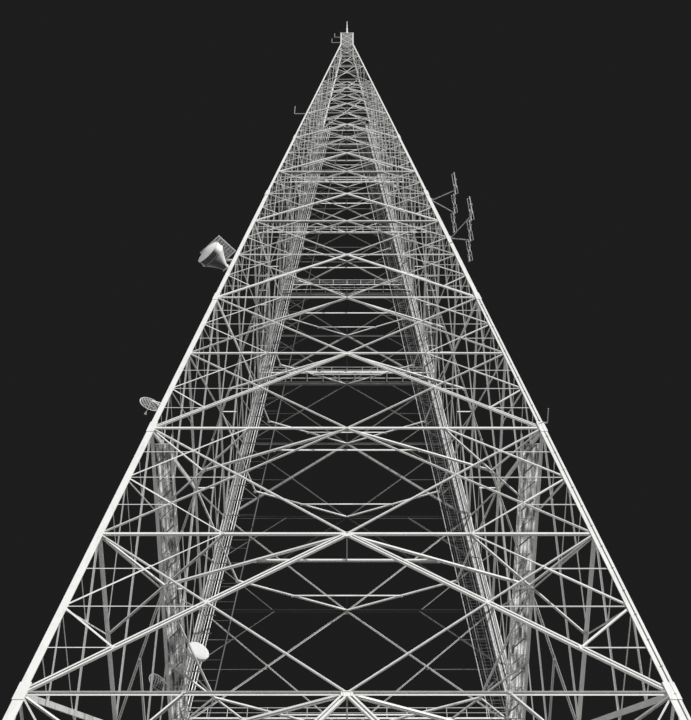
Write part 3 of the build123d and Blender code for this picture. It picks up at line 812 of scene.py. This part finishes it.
def cable_line(side, offset, inwards):
    """The same, with its offset taken from the tower's corner."""
    return ladder_line(side, offset - ladder_offset, inwards)


def along_line(line, share):
    """Point on a line at a share of its length."""
    return line[0] + (line[1] - line[0]) * share


def rungs_between(steel, near, far, count, radius, sides):
    """Rods between two lines, evenly spaced and none at their ends."""
    for index in range(1, count):
        share = index / count
        steel.rod(along_line(near, share), along_line(far, share), radius, sides)


for side, name in ((-1, "cable_ladder"), (1, "climbing_ladder")):
    width = ladder_widths[side]
    steel = Steel()
    back = Vector((0, 1, 1 / rise_per_run)).normalized()
    for offset in (0, width):
        line = ladder_line(side, offset, 0)
        steel.member(*line, channel(stile_width, ladder_depth, stile_wall), back)
    rungs_between(steel, ladder_line(side, rung_inset, rung_inwards),
                  ladder_line(side, width - rung_inset, rung_inwards),
                  int(ladder_rise / (rung_pitch * rung_steps[side])), rung_radius, 5)
    # Painted shade: the ladders are drawn dark grey
    steel.make(f"{name}_rungs", cable_grey, "cable_grey", (name,))

cage, cage_edges = Steel(), Steel()
cage_span = ladder_widths[1] + 2 * cage_overlap
bows = [(cage_span * (0.5 - 0.5 * cos(pi * step / 6)) - cage_overlap,
         ladder_depth + cage_reach * sin(pi * step / 6)) for step in range(7)]
cage_lines = [ladder_line(1, offset, inwards) for offset, inwards in bows]
for index in range(int((ladder_rise - cage_foot) / hoop_pitch)):
    share = (cage_foot + index * hoop_pitch) / ladder_rise
    cage.tube([along_line(line, share) for line in cage_lines], hoop_radius, 5)
for index, line in enumerate(cage_lines):
    at_edge = index in (0, len(cage_lines) - 1)
    made, thick = (cage_edges, edge_radius) if at_edge else (cage, strap_radius)
    made.rod(along_line(line, cage_foot / ladder_rise), line[1], thick, 5)
# Painted shade: the cage's straps and hoops are dark grey, its edge bars bright
cage.make("ladder_cage", cable_grey, "cable_grey")
cage_edges.make("cage_edges", railing_steel, "railing_steel")

feeders, coax_and_shadow_rods, bright_cables, clamps = Steel(), Steel(), Steel(), Steel()
for index in range(cable_count):
    thick = thick_cable if index % 3 == 0 else thin_cable
    offset = cable_start + index * cable_gap
    feeders.rod(*cable_line(-1, offset, thick + cable_inwards), thick, 7)
    coax_and_shadow_rods.rod(*cable_line(-1, index * dark_gap + dark_start, dark_inwards),
                    coaxial_radius, 6)
for offset, thick in lighting_runs:
    bright_cables.rod(*cable_line(1, offset, lighting_inwards + thick), thick, 7)
    # Painted shadow: a dark rod beside each lighting cable
    coax_and_shadow_rods.rod(*cable_line(1, offset + shadow_offset, dark_inwards), shadow_radius, 6)
rungs_between(clamps, cable_line(-1, cable_start - clamp_overhang, clamp_inwards),
              cable_line(-1, cable_start + cable_count * cable_gap, clamp_inwards),
              int(ladder_rise / clamp_pitch), clamp_radius, 4)
bright_cables.make("mast_lighting_cables", antenna_white, "railing_steel")
# Coaxial cables, and the painted shadows of the lighting cables
coax_and_shadow_rods.make("coaxial_cables_and_painted_shadows", cable_grey, "cable_grey")
feeders.make("feeder_cables", antenna_white, "railing_steel")
# Painted shade: the clamps are dark grey
clamps.make("cable_clamps", cable_grey, "cable_grey")

# --- large dish
dish_share, dish_bearing = 0.71, 226  # in shares of its panel, and in degrees
dish_radius, dish_hub_radius = 0.096, 0.022
dish_cone, dish_shroud, dish_standoff = 0.115, 0.050, 0.032
hub_depth, hub_flare, cone_rim = 0.010, 0.004, 0.008
band_inset, radome_inset, radome_bulge = 0.003, 0.006, 0.026


def heading(bearing):
    """The way that a dish looks, and its side, from a bearing in degrees from +X."""
    look = Vector((cos(radians(bearing)), sin(radians(bearing)), 0))
    return look, Vector((look.y, -look.x, 0))


def turned_shape(steel, profile, hub, look, side, sides):
    """Surface turned about a line from hub along look: pairs of distance and radius."""
    start = len(steel.points)
    for ahead, radius in profile:
        for index in range(sides):
            turn = tau * index / sides
            steel.points.append(hub + look * ahead + side * radius * cos(turn)
                                + up_axis * radius * sin(turn))
    for ring in range(len(profile) - 1):
        for index in range(sides):
            low, after = start + ring * sides, (index + 1) % sides
            steel.faces.append((low + index, low + after, low + sides + after,
                                low + sides + index))
    last = start + (len(profile) - 1) * sides
    steel.faces.append(tuple(start + index for index in reversed(range(sides))))
    steel.faces.append(tuple(last + index for index in range(sides)))


dish_height = lower_levels[-1] + dish_share * (middle_levels[1] - middle_levels[0])
dish_look, dish_side = heading(dish_bearing)
leg_outer = half_width(dish_height)
dish_hub = Vector((-leg_outer - dish_standoff, -leg_outer + leg_flanges[2] / 2, dish_height))
depth_in = dish_cone + dish_shroud
cone_foot, cover = dish_hub_radius + hub_flare, dish_radius - radome_inset
profile = [(0, dish_hub_radius), (hub_depth, cone_foot)]
profile += [(hub_depth + (dish_cone - hub_depth) * step / 10,
             cone_foot + (dish_radius - cone_rim - dish_hub_radius) * (step / 10) ** 1.15)
            for step in range(1, 11)]
profile += [(dish_cone + 0.001, dish_radius), (dish_cone + 0.008, dish_radius),
            (dish_cone + 0.009, dish_radius - band_inset),
            (depth_in - 0.009, dish_radius - band_inset), (depth_in - 0.008, dish_radius),
            (depth_in, dish_radius), (depth_in - 0.002, cover)]
profile += [(depth_in - 0.002 + radome_bulge * (1 - share ** 2), share * cover)
            for share in (0.9, 0.75, 0.55, 0.3, 0.02)]
dish = Steel()
turned_shape(dish, profile, dish_hub, dish_look, dish_side, 64)

# Painted shade: the dish's colour turns dark where its surface faces down, so its underside reads
# as shaded
underside_shaded_white = weathered("underside_shaded_white", (0.97, 0.97, 0.96), (0.70, 0.69, 0.67), 0.42, 0.12,
                          180.0)
shade_tree = Shading(underside_shaded_white)
shaded_colour = shade_tree.nodes["Principled BSDF"].inputs["Base Color"]
facing = shade_tree.add("NewGeometry").outputs["Normal"]
upright_part = shade_tree.add("SeparateXYZ", {"Vector": facing}).outputs["Z"]
underside_shade = shade_tree.spread(upright_part, -0.50, -0.80, 0, 1)
shade_tree.put(shaded_colour, shade_tree.mix(underside_shade, shaded_colour.links[0].from_socket,
                                              (0.03, 0.03, 0.03)))
dish.make("smooth_dish", underside_shaded_white, "antenna_white", ("large_dish",), 0, True)

# Wire mesh on the ice shield's frame
shield_length, shield_width, shield_rise = 0.165, 0.190, 0.033
shield_inset, shield_end, wire_radius = 0.008, 0.003, 0.0008
wires_each_way = 22
shield_middle = dish_hub + dish_look * (depth_in - shield_length / 2)
shield_middle.z = dish_height + dish_radius + shield_rise
shield = Steel()
for index in range(wires_each_way + 1):
    share = index / wires_each_way - 0.5
    for run, step, length, width in ((dish_look, dish_side, shield_length, shield_width),
                                     (dish_side, dish_look, shield_width, shield_length)):
        centre = shield_middle + step * share * (width - shield_inset)
        half_run = run * (length / 2 - shield_end)
        shield.rod(centre - half_run, centre + half_run, wire_radius, 4)
shield.make("shield_mesh", grating_steel, "grating")

# --- dipole arrays
# Panel, height in shares of it, distance beside the leg, and reach in front of the face
array_settings = {"lower_dipole_array": (1, 0.49, 0.145, 0.250),
                  "upper_dipole_array": (2, 0.77, 0.185, 0.160)}
boom_length, dipole_pitch, dipole_inset = 0.450, 0.080, 0.003
first_tall, other_tall, loop_width, loop_radius = 0.120, 0.080, 0.020, 0.0022
loop_clamp = (0.018, 0.014, 0.022)
lead_drop, lead_sag, lead_swing, lead_radius = 0.006, 0.016, 0.004, 0.0018
for name, (panel_index, rise, standoff, overhang) in array_settings.items():
    foot, top = middle_levels[panel_index:panel_index + 2]
    height = foot + rise * (top - foot)
    boom_x = half_width(height) + standoff
    front_y = -half_width(height) - overhang
    loops = Steel()
    for index in range(int(boom_length / dipole_pitch) + 1):
        hand = 1 if index % 2 else -1
        tall = other_tall if index else first_tall
        y = front_y + dipole_inset + index * dipole_pitch
        loops.tube([Vector((boom_x + x, y, height + z)) for x, z in
                    ((0, -tall), (hand * loop_width, -tall), (hand * loop_width, tall),
                     (0, tall))], loop_radius)
        loops.block(Vector((boom_x, y, height)), loop_clamp)
        if index:
            loops.tube([Vector((boom_x, y - dipole_pitch, height - lead_drop)),
                        Vector((boom_x - hand * lead_swing, y - dipole_pitch / 2,
                                height - lead_sag)),
                        Vector((boom_x, y, height - lead_drop))], lead_radius)
    loops.make(f"{name}_loops", dull_aluminium, "antenna_grey")

# --- cable up one leg
clip_pitch, first_clip, clip = 0.20, 0.2, (0.009, 0.004, 0.006)
cable_inset, cable_ahead, cable_radius, cable_foot = 0.015, 0.0016, 0.0019, 0.15


def beside_leg(height):
    """A point just in front of the front right leg."""
    outer = half_width(height)
    return Vector((outer - cable_inset, -outer - cable_ahead, height))


leg_cable = Steel()
leg_cable.rod(beside_leg(cable_foot), beside_leg(middle_levels[0]), cable_radius, 6)
for index in range(int(middle_levels[0] / clip_pitch)):
    leg_cable.block(beside_leg(first_clip + index * clip_pitch), clip)
leg_cable.make("right_leg_cable", cable_grey, "cable_grey")

# --- drum-shaped and grid dishes
drum_radius, drum_deep, drum_bearing, drum_screws = 0.070, 0.032, -60, 12
rim_back, rim_front, drum_inset, drum_bulge = 0.022, 0.028, 0.004, 0.004
stub_length, stub_radius, strut_inset, strut_radius = 0.030, 0.009, 0.003, 0.007
grid_depth, grid_rim, grid_rib = 0.024, 0.0022, 0.0012
grid_feed, feed_horn, feed_radius, horn_radius, horn_mouth = 0.095, 0.82, 0.0018, 0.003, 0.008

# The dish at the lower walkway: its rim, its domed cover and the cover's screws
low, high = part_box("walkway_dish")
drum_look, drum_side = heading(drum_bearing)
drum_reach = drum_look * drum_deep + Vector((abs(drum_side.x), -abs(drum_side.y), 0)) * drum_radius
drum_hub = Vector((high.x, low.y, (low.z + high.z) / 2)) - axis - drum_reach
drum = Steel()
drum_cover = drum_radius - drum_inset
drum_profile = [(0, drum_radius * 0.90), (0.003, drum_radius * 0.97),
                (rim_back, drum_radius * 0.97), (rim_back + 0.001, drum_radius),
                (rim_front, drum_radius), (rim_front + 0.001, drum_cover)]
drum_profile += [(rim_front + drum_bulge * (1 - share ** 2), share * drum_cover)
                 for share in (0.97, 0.8, 0.6, 0.3, 0.02)]
turned_shape(drum, drum_profile, drum_hub, drum_look, drum_side, 48)
for step in range(drum_screws):
    turn = tau * step / drum_screws
    spot = (drum_side * cos(turn) + up_axis * sin(turn)) * (drum_radius - drum_inset / 2)
    drum.bolt(drum_hub + spot + drum_look * rim_front, drum_look, 0.004)
drum.rod(drum_hub + drum_look * 0.002, drum_hub - drum_look * stub_length, stub_radius, 12)
drum.rod(drum_hub - drum_look * (stub_length - 0.002),
         Vector((low.x - axis.x + strut_inset, drum_hub.y, drum_hub.z)), strut_radius, 10)
drum.make("walkway_drum", radome_grey, "antenna_white", ("walkway_dish",), 0, True)


def grid_dish(steel, vertex, bearing, radius, ribs, cross_ribs):
    """Open reflector: a rim and curved ribs, with its feed ahead on a thin boom."""
    look, side = heading(bearing)

    def on_bowl(u, v):
        ahead = look * grid_depth * (u * u + v * v)
        return vertex + ahead + (side * u + Vector((0, 0, v))) * radius

    steel.tube([on_bowl(cos(tau * step / 24), sin(tau * step / 24)) for step in range(25)],
               grid_rim)
    for count, upright in ((ribs, True), (cross_ribs, False)):
        for index in range(count):
            u = (2 * index + 1) / count - 1
            reach = sqrt(1 - u * u)
            rib = [(u, reach * step / 3) for step in range(-3, 4)]
            steel.tube([on_bowl(*(point if upright else reversed(point))) for point in rib],
                       grid_rib, 4)
    horn = vertex + look * feed_horn * grid_feed
    steel.rod(vertex, horn, feed_radius)
    steel.rod(horn, vertex + look * grid_feed, horn_radius, 10, horn_mouth)


small_bearing, small_radius, small_beside, small_ahead = 115, 0.060, 0.052, 0.012
bracket_rise, bracket_beside, bracket_behind, bracket_radius = 0.018, 0.002, 0.016, 0.0035
low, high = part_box("leg_grid_dish")
height = (low.z + high.z) / 2
outer = half_width(height)
vertex = Vector((-outer - small_beside, -outer - small_ahead, height))
small_grid = Steel()
grid_dish(small_grid, vertex, small_bearing, small_radius, 15, 3)
for rise in (-bracket_rise, bracket_rise):
    end = Vector((-outer + bracket_beside, -outer + bracket_behind, height + rise))
    small_grid.rod(vertex, end, bracket_radius)
small_grid.make("leg_grid_reflector", antenna_white, "antenna_white", ("leg_grid_dish",))

wide_bearing, wide_radius, wide_beside, wide_share = 130, 0.066, 0.030, 0.62
post_inset, grid_post = 0.008, 0.0045
height = lower_levels[3]
outer = half_width(height)
vertex = Vector((-outer - wide_beside, wide_share * outer, height))
wide_grid = Steel()
grid_dish(wide_grid, vertex, wide_bearing, wide_radius, 9, 9)
wide_grid.rod(vertex, Vector((-outer + post_inset, vertex.y, height)), grid_post)
wide_grid.make("walkway_grid_reflector", antenna_grey, "antenna_white", ("walkway_grid_dish",))

# --- floor and lights
floor_reach = 900.0
bounce_colour, shown_colour = (0.33, 0.33, 0.33), (0.62, 0.62, 0.61)
ambient_strength, backdrop_grey = 0.03, 0.0125

floor_mesh = bpy.data.meshes.new("floor")
floor_mesh.from_pydata([(a * floor_reach, b * floor_reach, 0) for a, b in corner_signs],
                       [], [(0, 1, 2, 3)])
floor = add_object("floor", floor_mesh)
floor_material = bpy.data.materials.new("floor")
floor_tree = Shading(floor_material)
floor_shader = floor_tree.nodes["Principled BSDF"]
floor_tree.put(floor_shader.inputs["Base Color"],
               floor_tree.mix(floor_tree.seen_rays(), bounce_colour, shown_colour))
floor_shader.inputs["Roughness"].default_value = 0.9
floor_mesh.materials.append(floor_material)


def sun(name, azimuth, elevation, strength, softness):
    """A soft sun: the direction that it comes from, in degrees from +X, and its height."""
    data = bpy.data.lights.new(name, "SUN")
    data.energy = strength
    data.angle = radians(softness)
    bearing, height = radians(azimuth), radians(elevation)
    source = Vector((cos(bearing) * cos(height), sin(bearing) * cos(height), sin(height)))
    add_object(name, data).rotation_euler = source.to_track_quat("Z", "Y").to_euler()


sun("key", 308, 31, 4.3, 3)
sun("fill", 212, 22, 0.8, 30)

world = bpy.data.worlds.new("studio")
scene.world = world
sky = Shading(world)
ambient = sky.nodes["Background"]
ambient.inputs["Color"].default_value = (1, 1, 1, 1)
ambient.inputs["Strength"].default_value = ambient_strength
backdrop = sky.add("Background", {"Color": (*[backdrop_grey] * 3, 1)})
choice = sky.add("MixShader", {"Fac": sky.seen_rays(), 1: ambient.outputs["Background"],
                               2: backdrop.outputs["Background"]})
sky.put(sky.nodes["World Output"].inputs["Surface"], choice.outputs["Shader"])

scene.view_settings.view_transform = "Standard"
